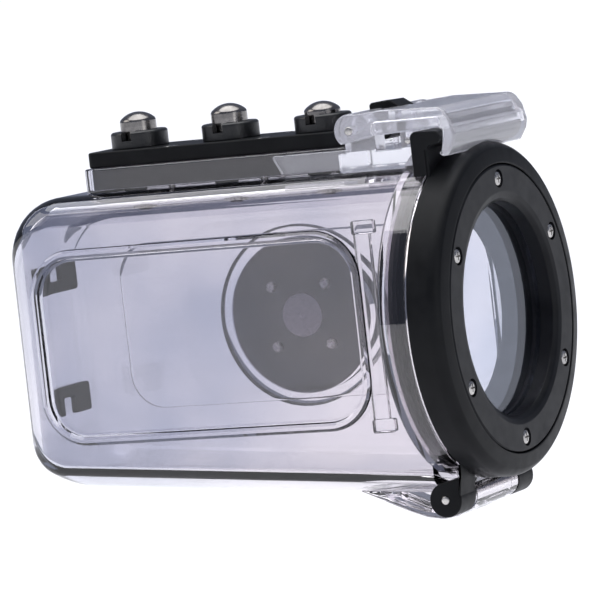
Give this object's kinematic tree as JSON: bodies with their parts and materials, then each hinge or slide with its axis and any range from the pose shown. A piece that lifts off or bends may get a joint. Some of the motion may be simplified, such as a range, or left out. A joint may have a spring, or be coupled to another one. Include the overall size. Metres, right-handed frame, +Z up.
{
  "type": "action camera dive housing",
  "caption": "Clear waterproof dive housing for a long action camera, with a round hinged window door, a swing latch with a lock tab, push buttons and a tripod mounting plate.",
  "frame": {"origin": "centre of the bounding box's bottom face, under the hinge bracket's lowest point", "axes": "+X out of the window along the lens axis, +Z up through the buttons, +Y towards the tripod mounting plate"},
  "size_m": [0.1236, 0.0774, 0.1],
  "materials": {
    "clear_body": "clear moulded polycarbonate, polished",
    "clear_latch": "clear moulded polycarbonate, polished",
    "black_plastic": "black moulded ABS, fine satin texture",
    "black_bezel": "black moulded ABS, satin",
    "grey_plastic": "dark grey moulded nylon",
    "insert_metal": "turned, bead-blasted",
    "steel": "stainless steel, turned",
    "polished_steel": "stainless steel, polished dome",
    "spring_steel": "drawn stainless wire",
    "rubber": "black silicone rubber",
    "window_glass": "flat polished glass"
  },
  "bodies": {
    "housing": {"housing_shell": "clear_body", "mount_plate": "grey_plastic", "mount_insert": "insert_metal", "mount_screws": "steel", "rear_pads": "rubber", "button_plate": "black_plastic", "plate_screws": "steel", "button_collars": "black_plastic", "button_seals": "rubber", "latch_bracket": "clear_latch", "post_pins": "steel", "lever_pin": "steel", "hinge_pin": "steel"},
    "door": {"door_ring": "black_plastic", "front_bezel": "black_bezel", "bezel_screws": "steel", "window_glass": "window_glass", "window_seal": "rubber", "door_seal": "rubber"},
    "lever": {"latch_lever": "clear_latch"},
    "lock": {"lock_tab": "black_plastic", "lock_spring": "spring_steel"},
    "button_1": {"button_cap_1": "polished_steel", "button_clip_1": "steel", "button_spring_1": "spring_steel"},
    "button_2": {"button_cap_2": "polished_steel", "button_clip_2": "steel", "button_spring_2": "spring_steel"},
    "button_3": {"button_cap_3": "polished_steel", "button_clip_3": "steel", "button_spring_3": "spring_steel"}
  },
  "joints": [
    {"name": "door_hinge", "type": "hinge", "parent": "housing", "child": "door", "pos_m": [0.049, 0, 0.0059], "axis": [0, 1, 0], "range_deg": [0, 120]},
    {"name": "latch_pivot", "type": "hinge", "parent": "housing", "child": "lever", "pos_m": [0.035, 0, 0.09192], "axis": [0, -1, 0], "range_deg": [0, 100]},
    {"name": "lock_tilt", "type": "hinge", "parent": "lever", "child": "lock", "pos_m": [0.035, 0, 0.09192], "axis": [0, -1, 0], "range_deg": [0, 10], "stiffness_Nm_per_rad": 0.02, "springref_deg": -8.59},
    {"name": "button_1_push", "type": "slide", "parent": "housing", "child": "button_1", "axis": [0, 0, -1], "range_m": [0, 0.0016], "stiffness_N_per_m": 500, "springref_m": -0.002, "deforming": ["button_spring_1"]},
    {"name": "button_2_push", "type": "slide", "parent": "housing", "child": "button_2", "axis": [0, 0, -1], "range_m": [0, 0.0016], "stiffness_N_per_m": 500, "springref_m": -0.002, "deforming": ["button_spring_2"]},
    {"name": "button_3_push", "type": "slide", "parent": "housing", "child": "button_3", "axis": [0, 0, -1], "range_m": [0, 0.0016], "stiffness_N_per_m": 500, "springref_m": -0.002, "deforming": ["button_spring_3"]}
  ]
}
